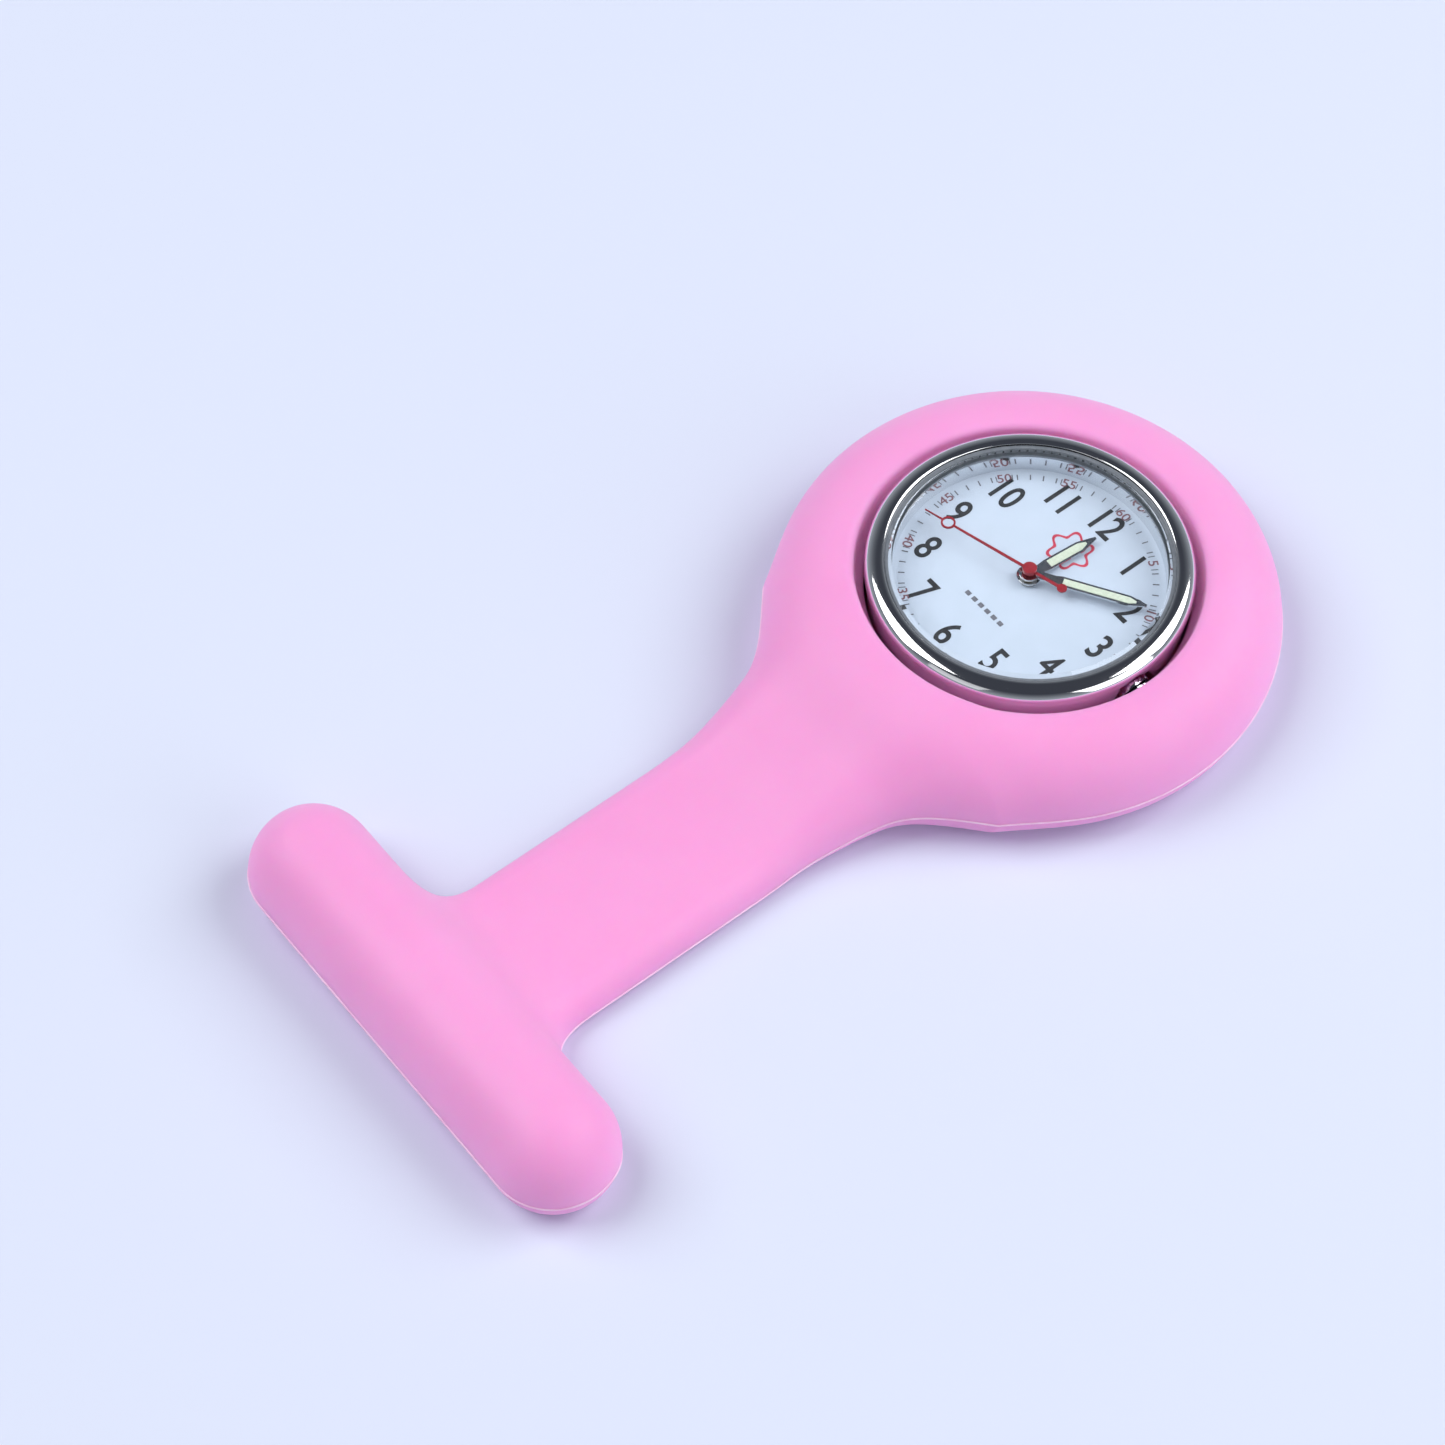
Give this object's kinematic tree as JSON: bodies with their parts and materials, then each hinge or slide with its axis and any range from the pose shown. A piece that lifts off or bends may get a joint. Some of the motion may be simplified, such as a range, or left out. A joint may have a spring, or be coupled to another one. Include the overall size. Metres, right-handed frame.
{
  "type": "fob watch",
  "caption": "Silicone fob watch with a T-shaped pin bar, a flexible strap and a round pocket that holds a polished quartz watch head.",
  "frame": {"origin": "middle of the whole outline, on the surface the watch lies on", "axes": "X along the pin bar, +Y from the bar to the watch head (12 o'clock), +Z out of the dial"},
  "size_m": [0.0428, 0.0882, 0.0097],
  "materials": {
    "silicone": "satin moulded silicone",
    "chrome": "polished",
    "steel": "fine brushed",
    "glass": "clear mineral glass",
    "dial": "satin silver white",
    "lume": "matte",
    "red": "gloss",
    "seal": "matte",
    "nylon": "clear natural nylon",
    "plastic": "matte",
    "brass": "plated",
    "board": "solder mask",
    "copper": "enamelled wire"
  },
  "bodies": {
    "bar": {"silicone_bar": "silicone", "silicone_strap": "silicone", "brooch_plate": "steel", "brooch_rivet": "steel", "brooch_catch": "steel"},
    "needle": {"brooch_needle": "steel"},
    "watch": {"silicone_pocket": "silicone", "case_body": "chrome", "case_back": "steel", "case_back_gasket": "seal", "bezel": "chrome", "crystal_gasket": "nylon", "crystal": "glass", "dial_ring": "chrome", "dial": "dial", "dial_washer": "brass", "main_plate": "plastic", "train_bridge": "nylon", "bridge_screws": "steel", "stator": "steel", "coil_core": "steel", "coil": "copper", "circuit_board": "board", "chip": "plastic", "quartz_can": "steel", "battery_insulator": "nylon", "battery": "chrome", "battery_clamp": "brass", "movement_ring": "nylon", "crown_tube": "steel"},
    "crown_carrier": {"crown_gasket": "seal"},
    "crown_stem": {"crown": "chrome", "stem": "steel"},
    "clutch": {"clutch_wheel": "steel"},
    "lever": {"setting_lever": "steel"},
    "yoke": {"yoke": "steel"},
    "seconds": {"fourth_wheel": "brass", "second_hand": "red"},
    "fifth": {"fifth_wheel": "nylon"},
    "rotor": {"rotor": "steel"},
    "third": {"third_wheel": "nylon"},
    "minutes": {"center_wheel": "brass", "cannon_pinion": "brass", "minute_hand": "chrome", "minute_lume": "lume"},
    "minute_wheel": {"minute_wheel": "nylon"},
    "hours": {"hour_wheel": "nylon", "hour_hand": "chrome", "hour_lume": "lume"},
    "setting": {"setting_wheel": "nylon"}
  },
  "joints": [
    {"name": "strap_bend", "type": "hinge", "parent": "bar", "child": "watch", "pos_m": [0, -0.02137, 0.0018], "axis": [1, 0, 0], "range_deg": [-45, 90], "stiffness_Nm_per_rad": 0.004, "deforming": ["silicone_strap"]},
    {"name": "pin_open", "type": "hinge", "parent": "bar", "child": "needle", "pos_m": [-0.014, -0.03883, 0.0015], "axis": [0, 1, 0], "range_deg": [0, 75]},
    {"name": "crown_pull", "type": "slide", "parent": "watch", "child": "crown_carrier", "axis": [1, 0, 0], "range_m": [0, 0.0008]},
    {"name": "crown_turn", "type": "hinge", "parent": "crown_carrier", "child": "crown_stem", "pos_m": [0.0135, 0.02268, 0.0049], "axis": [1, 0, 0], "continuous": true},
    {"name": "clutch_slide", "type": "slide", "parent": "watch", "child": "clutch", "axis": [-1, 0, 0], "range_m": [0, 0.00061]},
    {"name": "lever_swing", "type": "hinge", "parent": "watch", "child": "lever", "pos_m": [0.00783, 0.02428, 0.0054], "axis": [0, 0, 1], "range_deg": [0, 29.16]},
    {"name": "yoke_swing", "type": "hinge", "parent": "watch", "child": "yoke", "pos_m": [0.0047, 0.02107, 0.0054], "axis": [0, 0, 1], "range_deg": [0, 21.81]},
    {"name": "second_turn", "type": "hinge", "parent": "watch", "child": "seconds", "pos_m": [0, 0.02268, 0.0077], "axis": [0, 0, -1], "continuous": true},
    {"name": "fifth_turn", "type": "hinge", "parent": "watch", "child": "fifth", "pos_m": [-0.00312, 0.02268, 0.0031], "axis": [0, 0, -1], "continuous": true},
    {"name": "rotor_turn", "type": "hinge", "parent": "watch", "child": "rotor", "pos_m": [-0.00501, 0.02268, 0.0038], "axis": [0, 0, -1], "continuous": true},
    {"name": "third_turn", "type": "hinge", "parent": "watch", "child": "third", "pos_m": [0, 0.02574, 0.0038], "axis": [0, 0, -1], "continuous": true},
    {"name": "minute_turn", "type": "hinge", "parent": "watch", "child": "minutes", "pos_m": [0, 0.02268, 0.0073], "axis": [0, 0, -1], "continuous": true},
    {"name": "minute_wheel_turn", "type": "hinge", "parent": "watch", "child": "minute_wheel", "pos_m": [0.00129, 0.02421, 0.0055], "axis": [0, 0, -1], "continuous": true},
    {"name": "hour_turn", "type": "hinge", "parent": "watch", "child": "hours", "pos_m": [0, 0.02268, 0.0069], "axis": [0, 0, -1], "continuous": true},
    {"name": "setting_wheel_turn", "type": "hinge", "parent": "watch", "child": "setting", "pos_m": [0.00355, 0.02381, 0.0055], "axis": [0, 0, -1], "continuous": true}
  ],
  "couplings": [
    {"joint": "clutch_slide", "follows": "crown_pull", "ratio": 0.75},
    {"joint": "lever_swing", "follows": "crown_pull", "rad_per_m": 631.7},
    {"joint": "yoke_swing", "follows": "crown_pull", "rad_per_m": 471.54},
    {"joint": "fifth_turn", "follows": "second_turn", "ratio": -5},
    {"joint": "rotor_turn", "follows": "second_turn", "ratio": 30},
    {"joint": "third_turn", "follows": "second_turn", "ratio": -0.13333},
    {"joint": "minute_turn", "follows": "second_turn", "ratio": 0.016667},
    {"joint": "minute_wheel_turn", "follows": "second_turn", "ratio": -0.0055556},
    {"joint": "hour_turn", "follows": "second_turn", "ratio": 0.0013889},
    {"joint": "setting_wheel_turn", "follows": "second_turn", "ratio": 0.010417}
  ]
}
